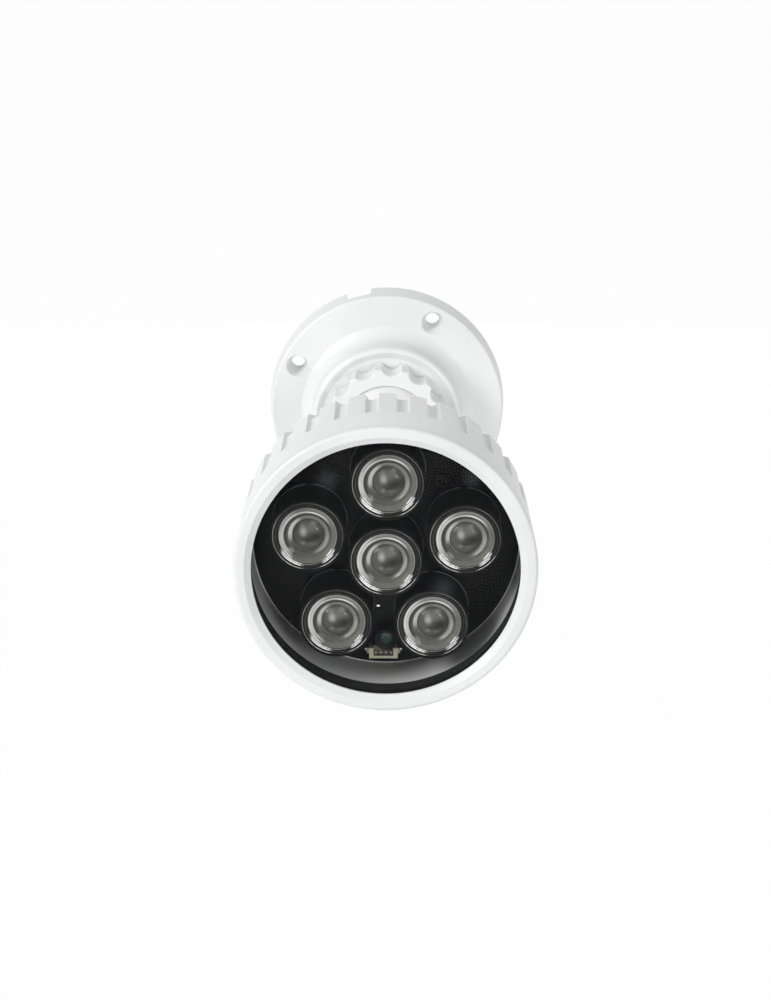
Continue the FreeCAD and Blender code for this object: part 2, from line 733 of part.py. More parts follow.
def lens():
    """Clear lens: a flange, a curved cone, a stepped front recess and a socket for the emitter."""
    flange_front = lens_seat + LENS_FLANGE - LENS_LAND
    face = flange_front + LENS_LAND
    recess = face - LENS_RECESS
    socket_top = board_front + EMITTER_BASE + EMITTER_DOME + LENS_SOCKET_DEPTH
    foot = board_front + HOLDER_FLOOR + LENS_CLEARANCE
    shoulder = LENS_FACE + LENS_LAND
    crown = (LENS_BALL ** 2 + LENS_CROWN ** 2) / (2 * LENS_CROWN)
    half = math.asin(LENS_BALL / crown) / 2
    crown_middle = (crown * math.sin(half), recess + LENS_CROWN - crown * (1 - math.cos(half)))
    return turned(
        (0, socket_top),
        (LENS_SOCKET, socket_top - LENS_LAND),
        (LENS_SOCKET, foot),
        (LENS_FOOT, foot),
        (shoulder, lens_seat),
        (lens_radius, lens_seat),
        (lens_radius, flange_front),
        (shoulder, flange_front),
        (LENS_FACE, face),
        (LENS_STEP, face),
        (LENS_BALL, recess),
        (crown_middle, (0, recess + LENS_CROWN)),
    )


def led_spots():
    """Centre emitter first, then the ring from the top, clockwise."""
    ring = [on_clock(LED_CIRCLE, LED_CLOCK + 360.0 * k / RING_LEDS) for k in range(RING_LEDS)]
    return [(0.0, 0.0)] + ring


def moved(shape, x, z):
    return shape.copy().translate(FreeCAD.Vector(x, 0, z))


def photocell():
    """Light sensor: a small round cell on the board."""
    return rod(CELL_RADIUS, board_front, board_front + CELL_HEIGHT, 0, cell_z)


def photocell_sleeve():
    """Dark hood that keeps the lamp's own light off the cell."""
    front = board_front + SLEEVE_HEIGHT
    sleeve = rod(SLEEVE_RADIUS, board_front, front, 0, cell_z)
    bore = rod(CELL_RADIUS + PIECE_FIT, board_front - OVERRUN, front, 0, cell_z)
    mouth_radius = SLEEVE_RADIUS - 2 * PIECE_FIT
    mouth = cone(CELL_RADIUS + PIECE_FIT, mouth_radius, board_front + CELL_HEIGHT, front, 0, cell_z)
    return sleeve.cut([bore, mouth])


def pin_offsets(count, pitch):
    return [(k - (count - 1) / 2) * pitch for k in range(count)]


def connector_pins(front):
    return [
        block(PIN_WIDTH, PIN_WIDTH, board_front, front, PLUG_X + offset, plug_z)
        for offset in pin_offsets(PIN_COUNT, PIN_PITCH)
    ]


def board_connector():
    """Socket that opens to the front and upwards, between two thick ends."""
    front = board_front + PLUG_HEIGHT
    floor = board_front + PLUG_FLOOR
    body = block(PLUG_WIDTH, PLUG_SIDE, board_front, front, PLUG_X, plug_z)
    well_width = PLUG_WIDTH - 2 * PLUG_END
    well = block(well_width, PLUG_SIDE, floor, front + OVERRUN, PLUG_X, plug_z + PLUG_WALL)
    return body.cut([well] + connector_pins(front))


def connector_contacts():
    """Pins that stand in the socket, and a solder tab at each end of it."""
    tab_x = (PLUG_WIDTH + TAB_WIDTH) / 2
    tabs = [
        block(TAB_WIDTH, TAB_SIDE, board_front, board_front + TAB_HEIGHT, PLUG_X + side * tab_x, plug_z)
        for side in (-1, 1)
    ]
    return Part.makeCompound(connector_pins(board_front + PIN_HEIGHT) + tabs)


def board_chip():
    """Chip resistor between the emitters."""
    return block(CHIP_WIDTH, CHIP_SIDE, board_front, board_front + CHIP_HEIGHT, CHIP_X, CHIP_Z)


def driver_board():
    """Round board that holds the current driver and the dusk switch."""
    board = rod(DRIVER_RADIUS, driver_back, driver_front)
    holes = []
    for angle in spacer_spots():
        x, z = on_clock(SPACER_CIRCLE, angle)
        holes.append(rod(SPACER_SCREW + PIECE_FIT, driver_back - OVERRUN, driver_front + OVERRUN, x, z))
    for offset in pin_offsets(HEADER_PINS, HEADER_PITCH):
        side = HEADER_PIN + 2 * PIECE_FIT
        holes.append(block(side, side, driver_back - OVERRUN, driver_front + OVERRUN, offset, HEADER_Z))
    return board.cut(holes)


def board_spacers():
    """Round spacers between the heat plate and the driver board."""
    spacers = []
    for angle in spacer_spots():
        x, z = on_clock(SPACER_CIRCLE, angle)
        tube = rod(SPACER_RADIUS, driver_front, ledge, x, z)
        bore = rod(SPACER_SCREW + PIECE_FIT, driver_front - OVERRUN, ledge + OVERRUN, x, z)
        spacers.append(tube.cut(bore))
    return Part.makeCompound(spacers)


def spacer_screws():
    """Screws from behind, through the driver board and the spacers, into the heat plate."""
    screws = []
    for angle in spacer_spots():
        x, z = on_clock(SPACER_CIRCLE, angle)
        head = rod(SPACER_SCREW_HEAD, driver_back - SPACER_SCREW_CROWN, driver_back, x, z)
        tip = min(ledge + SPACER_SCREW_BITE, board_back) - PIECE_FIT
        screws.append(head.fuse(rod(SPACER_SCREW, driver_back, tip, x, z)))
    return Part.makeCompound(screws)


def driver_inductor():
    """Drum core with its winding, on the back of the driver board."""
    rear = driver_back - COIL_HEIGHT
    spool = rod(COIL_RADIUS, rear, driver_back, COIL_X, COIL_Z)
    waist = rod(COIL_RADIUS + OVERRUN, rear + COIL_FLANGE, driver_back - COIL_FLANGE, COIL_X, COIL_Z)
    winding_radius = (COIL_RADIUS + COIL_CORE) / 2
    winding = rod(winding_radius, rear + COIL_FLANGE, driver_back - COIL_FLANGE, COIL_X, COIL_Z)
    return spool.cut(waist.cut(winding))


def driver_capacitor():
    """Electrolytic can with a rolled groove near its foot."""
    rear = driver_back - CAN_HEIGHT
    groove = driver_back - CAN_GROOVE_PLACE
    can = turned(
        (0, rear),
        (CAN_RADIUS - CAN_EDGE, rear),
        (CAN_RADIUS, rear + CAN_EDGE),
        (CAN_RADIUS, groove - CAN_GROOVE),
        (CAN_RADIUS - CAN_GROOVE, groove),
        (CAN_RADIUS, groove + CAN_GROOVE),
        (CAN_RADIUS, driver_back),
        (0, driver_back),
    )
    return moved(can, CAN_X, CAN_Z)


def driver_chips():
    """Driver circuit, comparator and diode on the back of the driver board."""
    return Part.makeCompound([
        block(width, side, driver_back - height, driver_back, x, z)
        for x, z, width, side, height in DRIVER_CHIPS
    ])


def feed_header():
    """Pin strip that carries the current from the driver board to the emitter board."""
    width = HEADER_PITCH * HEADER_PINS
    strip = block(width, HEADER_SIDE, driver_front, driver_front + HEADER_SIDE, 0, HEADER_Z)
    pins = [
        block(HEADER_PIN, HEADER_PIN, driver_back, board_back, offset, HEADER_Z)
        for offset in pin_offsets(HEADER_PINS, HEADER_PITCH)
    ]
    return strip.fuse(pins)


def lead_gland():
    """Rubber bush that seals the lead where it enters the head."""
    rear = cavity_rear - GLAND_DEPTH
    bush = rod(GLAND_RADIUS - PIECE_FIT, rear, cavity_rear)
    collar = rod(GLAND_RADIUS + GLAND_LIP, cavity_rear, cavity_rear + GLAND_LIP)
    bore = rod(GLAND_BORE, rear - OVERRUN, cavity_rear + GLAND_LIP + OVERRUN)
    return bush.fuse(collar).cut(bore)


def build():
    """Every piece of the lamp, by the name of its node."""
    pieces = {
        "wall_base": wall_base(),
        "ball_seat": ball_seat(),
        "lock_ring": lock_ring(),
        "ball_stem": ball_stem(),
        "stem_nut": stem_nut(),
        "stem_washer": stem_washer(),
        "lead_gland": lead_gland(),
        "rear_housing": rear_housing(),
        "front_bezel": front_bezel(),
        "glass_gasket": glass_gasket(),
        "front_glass": front_glass(),
        "heat_plate": heat_plate(),
        "plate_screws": plate_screws(),
        "led_board": led_board(),
        "board_screws": board_screws(),
        "photocell": photocell(),
        "photocell_sleeve": photocell_sleeve(),
        "board_connector": board_connector(),
        "connector_contacts": connector_contacts(),
        "board_chip": board_chip(),
        "driver_board": driver_board(),
        "board_spacers": board_spacers(),
        "spacer_screws": spacer_screws(),
        "driver_inductor": driver_inductor(),
        "driver_capacitor": driver_capacitor(),
        "driver_chips": driver_chips(),
        "feed_header": feed_header(),
    }
    optics = {"emitter": emitter(), "lens_holder": lens_holder(), "lens": lens()}
    for number, (x, z) in enumerate(led_spots(), start=1):
        for name, shape in optics.items():
            pieces[f"{name}_{number}"] = moved(shape, x, z)
    return pieces


os.makedirs("parts", exist_ok=True)
for node, shape in build().items():
    shape.exportStep(f"parts/{node}.step")
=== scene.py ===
import math

import bmesh
import bpy
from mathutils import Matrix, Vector


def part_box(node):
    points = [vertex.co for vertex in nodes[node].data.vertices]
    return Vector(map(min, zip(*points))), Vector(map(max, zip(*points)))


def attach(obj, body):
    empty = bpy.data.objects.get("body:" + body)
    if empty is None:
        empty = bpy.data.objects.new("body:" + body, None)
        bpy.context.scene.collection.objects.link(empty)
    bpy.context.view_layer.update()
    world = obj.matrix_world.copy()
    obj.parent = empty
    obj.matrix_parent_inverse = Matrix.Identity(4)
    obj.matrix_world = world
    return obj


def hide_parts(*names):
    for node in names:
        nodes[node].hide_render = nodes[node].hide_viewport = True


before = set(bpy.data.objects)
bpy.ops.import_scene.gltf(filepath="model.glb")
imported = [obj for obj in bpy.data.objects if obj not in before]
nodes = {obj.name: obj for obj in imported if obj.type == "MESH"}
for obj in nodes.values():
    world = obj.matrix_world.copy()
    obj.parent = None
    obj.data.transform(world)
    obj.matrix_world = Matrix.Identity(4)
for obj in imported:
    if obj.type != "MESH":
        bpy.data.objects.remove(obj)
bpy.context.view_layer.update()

# Metres. The lamp looks along -Y and +Z is up.
MM = 0.001
LEDS = range(1, 7)
WHITE = (1.0, 1.0, 1.0)

# Camera of the photograph. The pitch is in degrees downwards.
CAMERA_PLACE = (0.0014, -0.6136, 0.1804)
CAMERA_PITCH = 19.6
CAMERA_LENS = 63.0
CAMERA_SHIFT = -0.0054

# Soft lights: place, width and watts
LIGHTS = {
    "left_light": ((-1.12, -0.90, 0.80), 0.70, 14.2),
    "right_light": ((0.80, -1.46, 0.24), 0.40, 5.0),
    "back_light": ((0.0, 1.60, -0.15), 0.35, 4.0),
}
LIT_POINT = Vector((0, -0.1, 0))
WORLD_LEVEL = 0.47

# Floor
FLOOR_DROP = 0.36
FLOOR_SIZE = 26.0
FLOOR_GLOW = 0.965

# Lens: the ball in its recess, and the steps round it as (radius, depth behind the front)
BALL_EDGE = 4.5 * MM
BALL_FLOOR = 1.75 * MM
BALL_HEIGHT = 1.5 * MM
BALL_ROUNDS = 10
LENS_STEPS = (
    (4.75 * MM, 1.83 * MM),
    (5.55 * MM, 0.90 * MM),
    (5.95 * MM, 0.72 * MM),
    (6.60 * MM, 0.55 * MM),
    (7.20 * MM, 0.12 * MM),
    (7.70 * MM, 0.00 * MM),
    (8.00 * MM, 0.06 * MM),
    (8.15 * MM, 0.30 * MM),
)
# Rounded edge of the flange: (distance inside its radius, depth behind the front)
FLANGE_EDGE = (
    (0.30 * MM, 0.30 * MM),
    (0.08 * MM, 0.38 * MM),
    (0.00 * MM, 0.60 * MM),
    (0.00 * MM, 1.20 * MM),
)
LENS_SEGMENTS = 96

# Thread on the stem
THREAD_ROOT = 5.98 * MM
THREAD_CREST = 6.3 * MM
THREAD_PITCH = 1.0 * MM
THREAD_TURNS = 3
THREAD_SEGMENTS = 72 * THREAD_TURNS

# Sockets of a Mix node that mixes colours
MIX_FACTOR, MIX_FIRST, MIX_SECOND = 0, 6, 7
MIX_RESULT = 2


class Value:
    """A number in a shader. Arithmetic on it adds Math nodes."""

    def __init__(self, graph, socket):
        self.graph = graph
        self.socket = socket

    def math(self, operation, *terms):
        node = self.graph.node(
            "ShaderNodeMath", {"operation": operation}, dict(enumerate(terms)),
        )
        return Value(self.graph, node.outputs[0])

    def __add__(self, other):
        return self.math("ADD", self, other)

    def __radd__(self, other):
        return self.math("ADD", other, self)

    def __sub__(self, other):
        return self.math("SUBTRACT", self, other)

    def __rsub__(self, other):
        return self.math("SUBTRACT", other, self)

    def __mul__(self, other):
        return self.math("MULTIPLY", self, other)

    def __rmul__(self, other):
        return self.math("MULTIPLY", other, self)

    def __truediv__(self, other):
        return self.math("DIVIDE", self, other)

    def size(self):
        """The number without its sign."""
        return self.math("ABSOLUTE", self)

    def root(self):
        return self.math("SQRT", self)

    def sine(self):
        return self.math("SINE", self)

    def largest(self, other):
        return self.math("MAXIMUM", self, other)

    def rise(self, start, end):
        """0 below start and 1 above end, with a smooth step between."""
        node = self.graph.node(
            "ShaderNodeMapRange", {"interpolation_type": "SMOOTHSTEP"},
            {"Value": self, "From Min": start, "From Max": end},
        )
        return Value(self.graph, node.outputs["Result"])

    def band(self, low, high, blur):
        """1 between low and high, and 0 outside."""
        return self.rise(low - blur, low + blur) * (1 - self.rise(high - blur, high + blur))


class Graph:
    """The nodes of a material or of the world."""

    def __init__(self, tree):
        self.tree = tree

    def node(self, kind, settings=None, inputs=None):
        """Makes a node: first its settings, then the values or links of its sockets."""
        node = self.tree.nodes.new(kind)
        for key, value in (settings or {}).items():
            setattr(node, key, value)
        for key, value in (inputs or {}).items():
            self.join(node.inputs[key], value)
        return node

    def join(self, socket, value):
        """Links a value to a socket, or sets it there. A colour has three numbers."""
        if isinstance(value, Value):
            value = value.socket
        if isinstance(value, bpy.types.NodeSocket):
            self.tree.links.new(value, socket)
        elif isinstance(value, tuple):
            socket.default_value = (*value, 1.0)
        else:
            socket.default_value = value

    def seen(self):
        """1 where the camera, a reflection or a refraction looks, and 0 for light that falls."""
        rays = self.node("ShaderNodeLightPath").outputs
        seen = Value(self, rays["Is Camera Ray"])
        for ray in ("Is Glossy Ray", "Is Transmission Ray"):
            seen = seen.largest(Value(self, rays[ray]))
        return seen

    def show(self, first, second, factor, output):
        """Sends a mix of two shaders to the output."""
        blend = self.node("ShaderNodeMixShader", inputs={
            0: factor, 1: first.outputs[0], 2: second.outputs[0],
        })
        self.join(self.tree.nodes[output].inputs["Surface"], blend.outputs[0])


class Paint(Graph):
    """One material, and the nodes that make it."""

    def __init__(self, name, **shader):
        self.material = bpy.data.materials.new(name)
        self.material.use_nodes = True
        super().__init__(self.material.node_tree)
        self.shader = self.tree.nodes["Principled BSDF"]
        for key, value in shader.items():
            self.set(key.replace("_", " ").title().replace("Ior", "IOR"), value)

    def set(self, name, value):
        self.join(self.shader.inputs[name], value)

    def place(self):
        """The point on the piece, in metres, in the part's own frame."""
        return self.node("ShaderNodeTexCoord").outputs["Object"]

    def parts(self, vector):
        split = self.node("ShaderNodeSeparateXYZ", inputs={"Vector": vector})
        return [Value(self, socket) for socket in split.outputs]

    def noise(self, vector, scale, detail=2.0, roughness=0.5):
        node = self.node("ShaderNodeTexNoise", inputs={
            "Vector": vector, "Scale": scale, "Detail": detail, "Roughness": roughness,
        })
        return Value(self, node.outputs[0])

    def mix(self, factor, first, second):
        """A colour between two colours."""
        node = self.node("ShaderNodeMix", {"data_type": "RGBA"}, {
            MIX_FACTOR: factor, MIX_FIRST: first, MIX_SECOND: second,
        })
        return node.outputs[MIX_RESULT]

    def cover(self, mask, colour):
        """Lays a colour over the mixed colour that the paint has, where the mask is 1."""
        present = self.shader.inputs["Base Color"].links[0].from_socket
        self.set("Base Color", self.mix(mask, present, colour))

    def bump(self, height, strength, depth):
        node = self.node("ShaderNodeBump", inputs={
            "Height": height, "Strength": strength, "Distance": depth,
        })
        self.set("Normal", node.outputs["Normal"])


def distance(across, up):
    """Distance of a point from the middle."""
    return (across * across + up * up).root()


def spot(x, z, middle, reach):
    """1 in the middle of an oval, falling to 0 at its edge."""
    across = (x - middle[0]) / reach[0]
    up = (z - middle[1]) / reach[1]
    return 1 - distance(across, up).rise(0.0, 1.0)


def times(factor, colour):
    return tuple(factor * part for part in colour)


def board_radius():
    low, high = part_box("led_board")
    return (high.x - low.x) / 2


def powder_coat(name, colour, roughness=0.36):
    """White powder coat: a faint orange peel, and a slight change of tone over the casting."""
    paint = Paint(name, specular_ior_level=0.4, coat_weight=0.10, coat_roughness=0.2)
    place = paint.place()
    cloud = paint.noise(place, scale=38.0, detail=3.0)
    fine_peel = paint.noise(place, scale=2600.0, detail=1.0)
    peel = paint.noise(place, scale=950.0) + 0.35 * fine_peel
    paint.set("Base Color", paint.mix(cloud.rise(0.35, 0.65), times(0.955, colour), colour))
    paint.set("Roughness", roughness + 0.05 * cloud)
    paint.bump(peel, strength=0.16, depth=0.06 * MM)
    return paint


def head_coat():
    """Powder coat outside; in the well behind the glass, painted shade that darkens the casting
    from near white at the lip to grey at the board, with a faint grain.
    """
    paint = powder_coat("head_coat", (0.87, 0.875, 0.875))
    place = paint.place()
    x, y, z = paint.parts(place)
    ledge = -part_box("heat_plate")[1].y
    board = -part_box("led_board")[0].y
    lip = -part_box("rear_housing")[0].y
    well = board_radius() + 0.35 * MM
    reach = -1 * y
    inside = 1 - distance(x, z).rise(well, well + 0.1 * MM)
    grain = paint.noise(place, scale=420.0, detail=4.0, roughness=0.6)
    # Painted shade: the well's tone grows darker from the lip back to the board
    metal = paint.mix(reach.rise(board, lip), (0.38, 0.38, 0.385), (0.97, 0.97, 0.975))
    metal = paint.mix(grain.rise(0.3, 0.7) * 0.25, metal, (0.55, 0.55, 0.555))
    paint.cover(inside * reach.rise(ledge - 0.3 * MM, ledge), metal)
    return paint


def turned_metal(name, colour, roughness):
    """Zinc-plated or bare metal with fine turning marks about the lamp's axis."""
    paint = Paint(name, metallic=1.0)
    place = paint.place()
    x, _, z = paint.parts(place)
    marks = (distance(x, z) * 9000.0).sine() * 0.5 + 0.5
    blotch = paint.noise(place, scale=160.0, detail=4.0, roughness=0.6)
    paint.set("Base Color", paint.mix(blotch.rise(0.3, 0.7), times(0.72, colour), colour))
    paint.set("Roughness", roughness + 0.12 * blotch)
    paint.bump(marks + blotch, strength=0.12, depth=0.03 * MM)
    return paint


def bright_tin():
    """Reflowed solder and tinned chip ends: bright, with a faint frosting."""
    paint = Paint("solder", metallic=1.0)
    frost = paint.noise(paint.place(), scale=2200.0, detail=3.0)
    paint.set("Base Color", paint.mix(
        frost.rise(0.4, 0.7), (0.96, 0.96, 0.95), (0.84, 0.84, 0.83),
    ))
    paint.set("Roughness", 0.12 + 0.12 * frost)
    paint.bump(frost, strength=0.12, depth=0.02 * MM)
    return paint


def moulding(name, colour, roughness, grain=1600.0, level=0.5):
    """Moulded plastic or rubber with a fine even grain. Its gloss follows the level."""
    paint = Paint(name, specular_ior_level=level)
    place = paint.place()
    speck = paint.noise(place, scale=grain)
    cloud = paint.noise(place, scale=120.0, detail=3.0)
    pale = tuple(1.25 * part + 0.002 for part in colour)
    paint.set("Base Color", paint.mix(cloud.rise(0.4, 0.7), colour, pale))
    paint.set("Roughness", roughness + 0.08 * speck)
    paint.bump(speck, strength=0.25, depth=0.03 * MM)
    return paint


def solder_mask(name, colour):
    """Circuit board lacquer, very faintly uneven, with a paler sawn edge."""
    paint = Paint(name, specular_ior_level=0.115)
    place = paint.place()
    x, _, z = paint.parts(place)
    rim = board_radius()
    cloud = paint.noise(place, scale=90.0, detail=3.0)
    paint.set("Base Color", paint.mix(cloud.rise(0.3, 0.7), colour, times(1.3, colour)))
    paint.cover(distance(x, z).rise(rim - 0.36 * MM, rim - 0.26 * MM), (0.85, 0.85, 0.82))
    paint.set("Roughness", 0.26 + 0.1 * paint.noise(place, scale=500.0))
    return paint


def window_glass():
    """Coated flat glass: nearly clear, faintly milky all over, with three soft spots of painted
    reflection in it.
    """
    paint = Paint(
        "window_glass", roughness=0.3, specular_ior_level=0.0, base_color=(0.93, 0.96, 1.0),
    )
    x, _, z = paint.parts(paint.place())
    # Three soft spots of painted reflection, which raise the glass's alpha where they lie
    haze_and_painted_reflection = 0.0
    for across, up, wide in ((-16.0, 26.0, 4.5), (23.5, 26.5, 4.0), (16.0, -6.0, 4.5)):
        haze_and_painted_reflection = haze_and_painted_reflection + spot(x, z, (across * MM, up * MM), (wide * MM, wide * MM))
    paint.set("Alpha", 0.004 + 0.014 * haze_and_painted_reflection)
    return paint


def holder_moulding():
    """Black tubes for the lenses, with a painted highlight along the edge of the collar round
    the foot.
    """
    paint = moulding("holder_moulding", (0.0035, 0.0035, 0.0037), 0.34, level=0.09)
    _, y, _ = paint.parts(paint.place())
    collar = -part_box("led_board")[0].y + 3.2 * MM
    half, blur = 0.06 * MM, 0.02 * MM
    # Painted highlight: a thin pale band at the front edge of the collar
    paint.cover((-1 * y).band(collar - half, collar + half, blur), (0.15, 0.15, 0.153))
    return paint


def socket_moulding():
    """Beige socket, with painted shade darkening its well."""
    paint = moulding("socket_moulding", (0.74, 0.73, 0.53), 0.42)
    x, _, z = paint.parts(paint.place())
    low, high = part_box("board_connector")
    end, wall, blur = 1.3 * MM, 0.8 * MM, 0.03 * MM
    inside = (x - low.x).rise(end - blur, end) * (high.x - x).rise(end - blur, end)
    inside = inside * (z - low.z).rise(wall - blur, wall)
    # Painted shade: the well inside the socket is darkened
    paint.cover(inside, (0.270, 0.265, 0.178))
    return paint


def cell_face():
    """Light sensor: a teal lacquer over a folded track."""
    paint = Paint("cell_face", roughness=0.22, coat_weight=0.6, coat_roughness=0.05)
    x, _, z = paint.parts(paint.place())
    low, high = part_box("photocell")
    across = x - (low.x + high.x) / 2
    up = z - (low.z + high.z) / 2
    fold = 0.85 * MM
    row = (up * (math.tau / fold)).sine().rise(-0.1, 0.25)
    track = row * (1 - across.size().rise(1.15 * MM, 1.25 * MM))
    paint.set("Base Color", paint.mix(track, (0.017, 0.082, 0.078), (0.075, 0.150, 0.108)))
    paint.cover(distance(across, up).rise(1.45 * MM, 1.6 * MM), (0.012, 0.035, 0.034))
    return paint


def lens_face():
    """The lens over its dark cup in painted light and shade: rings, arcs and soft spots, in mm
    from its centre.
    """
    paint = Paint("lens_face", roughness=0.12, specular_ior_level=0.15, coat_roughness=0.05)
    dial = paint.node("ShaderNodeUVMap", {"uv_map": "dial"}).outputs["UV"]
    x, z, _ = paint.parts(dial)
    flange = distance(x, z)
    rim = distance(x, z - 0.3)
    cup = distance(x - 0.2, z - 0.35)
    ball = distance(x - 0.2, z - 0.15)

    def towards(clock, wide):
        """1 in a clock direction, falling to 0 at wide degrees from it."""
        turn = math.radians(clock)
        cosine = (x * math.sin(turn) + z * math.cos(turn)) / (flange + 0.01)
        return cosine.rise(math.cos(math.radians(wide)), math.cos(math.radians(0.3 * wide)))

    def painted_spot(middle, reach):
        return spot(x, z, middle, reach)

    haze_and_painted_reflection = paint.noise(dial, scale=0.5).rise(0.3, 0.7)
    break_up = 1.4 * paint.noise(dial, scale=2.4, detail=4.0).rise(0.34, 0.52)
    rim_light = (
        0.05 + 0.80 * towards(281, 63) + 0.20 * towards(10, 70) + 0.10 * towards(90, 60)
    )
    cup_light = 0.42 * (1 - towards(190, 75)) + 0.40 * towards(118, 50)
    edge_light = 0.16 + 0.84 * towards(272, 46) + 0.2 * towards(60, 60)

    # Each layer covers the ones before it: where, how much, and its tone
    layers = (
        # Shade between the cup and the rim
        (flange.band(5.9, 6.75, 0.25), 0.85 * (1 - towards(150, 85)), 0.036),
        # Rim: broad light, shade on the right, and fine lines
        (rim.band(6.75, 8.1, 0.12), rim_light, 0.68),
        (rim.band(6.75, 7.95, 0.12), 0.55 * towards(84, 52), 0.085),
        (rim.band(7.36, 7.54, 0.05), 0.85 * towards(338, 75), 0.07),
        (rim.band(6.78, 7.16, 0.08), 0.55 * towards(350, 60) + 0.5 * towards(28, 34), 0.85),
        (rim.band(7.94, 8.14, 0.05), 0.50 * towards(90, 95), 0.55),
        # Cup: a ring of light, bright on the left
        (cup.band(4.6, 5.75, 0.16), cup_light, 0.36),
        (cup.band(4.5, 5.60, 0.25), 0.95 * towards(296, 50), 0.72),
        (ball.band(4.60, 4.80, 0.06), 0.65 * towards(215, 42), 0.45),
        # Ball: its dark ground, and the soft lights and shades in it
        (1 - ball.rise(4.45, 4.60), 0.95, 0.078),
        (painted_spot((0.7, 2.6), (3.6, 2.9)), 0.80, 0.150),
        (painted_spot((2.2, -0.1), (3.4, 2.3)), 0.95, 0.016),
        (painted_spot((0.3, -1.1), (2.8, 1.3)), 0.75, 0.020),
        (painted_spot((-1.4, 2.7), (1.3, 2.0)), 0.60, 0.250),
        (painted_spot((-1.2, 1.4), (1.6, 1.9)), 1.00, 0.360),
        (painted_spot((1.6, 3.7), (1.4, 1.0)), 0.55, 0.300),
        (painted_spot((-1.3, -1.9), (1.1, 0.9)), 0.60, 0.230),
        (painted_spot((1.0, -2.1), (1.4, 0.8)), 0.45, 0.160),
        (ball.band(4.25, 4.55, 0.10), 0.75 * towards(225, 60) + 0.35, 0.030),
        # Flange: its dark ground, and painted highlights on its step and its edge
        (rim.rise(8.15, 8.25), 1.0, 0.005),
        (flange.band(8.85, 8.97, 0.04), 0.12 + 0.30 * towards(250, 80), 0.26),
        (flange.band(9.68, 9.86, 0.04), edge_light, 0.72),
        # Broken glints on its lower half
        (flange.band(9.60, 9.84, 0.04), break_up * (towards(215, 30) + towards(140, 24)), 0.90),
        (flange.band(8.14, 8.52, 0.04), break_up * (towards(218, 30) + towards(134, 20)), 1.0),
        (
            flange.band(8.62, 8.96, 0.04),
            break_up * (towards(214, 28) + 0.7 * towards(140, 16)), 1.0,
        ),
        (flange.band(8.28, 8.40, 0.04), 0.60 * towards(180, 50), 0.70),
        (
            flange.band(7.45, 7.85, 0.08),
            break_up * (0.6 * towards(228, 16) + towards(128, 12)), 0.95,
        ),
    )
    colour = paint.mix(haze_and_painted_reflection * 0.5, (0.090, 0.092, 0.077), (0.130, 0.131, 0.113))
    for where, amount, tone in layers:
        warm_grey = (tone, tone, (0.90 + 0.08 * tone) * tone)
        colour = paint.mix(where * amount, colour, warm_grey)
    paint.set("Base Color", colour)
    paint.set("Coat Weight", 0.05 * (1 - flange.rise(8.0, 8.1)))
    return paint


def floor_paint():
    """White floor that keeps a soft shadow: part lit, part white to camera and reflections."""
    paint = Paint("floor_white", roughness=0.9, base_color=(0.97, 0.97, 0.97))
    white = paint.node("ShaderNodeEmission", inputs={"Color": WHITE, "Strength": 1.0})
    paint.show(paint.shader, white, paint.seen() * FLOOR_GLOW, "Material Output")
    return paint


def finish(piece, paint):
    piece.data.materials.clear()
    piece.data.materials.append(paint.material)


def new_piece(name, mesh, paint, body, sharp=40.0):
    """Puts a finished bmesh in the scene, painted and riding on its body."""
    data = bpy.data.meshes.new(name)
    bmesh.ops.remove_doubles(mesh, verts=mesh.verts, dist=1e-7)
    bmesh.ops.recalc_face_normals(mesh, faces=mesh.faces)
    for face in mesh.faces:
        face.smooth = True
    mesh.to_mesh(data)
    mesh.free()
    data.set_sharp_from_angle(angle=math.radians(sharp))
    piece = bpy.data.objects.new(name, data)
    bpy.context.scene.collection.objects.link(piece)
    finish(piece, paint)
    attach(piece, body)
    return piece


def lens_outline(front, flange):
    """(radius, y) from the middle of the ball, over the steps, round the flange's edge."""
    outline = []
    for step in range(BALL_ROUNDS + 1):
        part = step / BALL_ROUNDS
        dome = BALL_HEIGHT * math.sqrt(1 - part ** 2)
        outline.append((BALL_EDGE * part, front + BALL_FLOOR - dome))
    outline += [(radius, front + depth) for radius, depth in LENS_STEPS]
    outline += [(flange - inset, front + depth) for inset, depth in FLANGE_EDGE]
    return outline


def lenses(paint):
    """The six collimating lenses: a ball in a recess, a stepped face and a clear flange."""
    for number in LEDS:
        node = f"lens_{number}"
        low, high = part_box(node)
        middle = (low + high) / 2
        flange = (high.x - low.x) / 2
        mesh = bmesh.new()
        verts = [
            mesh.verts.new((middle.x + radius, y, middle.z))
            for radius, y in lens_outline(low.y, flange)
        ]
        edges = [mesh.edges.new(pair) for pair in zip(verts, verts[1:])]
        bmesh.ops.spin(
            mesh, geom=verts + edges, cent=(middle.x, 0, middle.z), axis=(0, 1, 0),
            angle=math.tau, steps=LENS_SEGMENTS, use_merge=True,
        )
        dial = mesh.loops.layers.uv.new("dial")
        for face in mesh.faces:
            for loop in face.loops:
                away = (loop.vert.co - middle) / MM
                loop[dial].uv = (away.x, away.z)
        piece = new_piece(f"lens_look_{number}", mesh, paint, "head")
        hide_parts(node)


def solder_joints(paint):
    """Domed solder on the two tabs of the board socket."""
    low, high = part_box("connector_contacts")
    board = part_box("led_board")[0].y
    outset, lift = 0.25 * MM, 0.01 * MM
    wide, thick, tall = 0.55 * MM, 0.6 * MM, 0.75 * MM
    for name, x in (("left", low.x - outset), ("right", high.x + outset)):
        mesh = bmesh.new()
        ball = bmesh.ops.create_uvsphere(mesh, u_segments=24, v_segments=12, radius=1.0)
        for vert in ball["verts"]:
            vert.co = Vector((
                x + wide * vert.co.x,
                board - lift - thick * max(0.0, vert.co.y + 0.02),
                (low.z + high.z) / 2 + tall * vert.co.z,
            ))
        new_piece(f"solder_{name}", mesh, paint, "head", sharp=60.0)


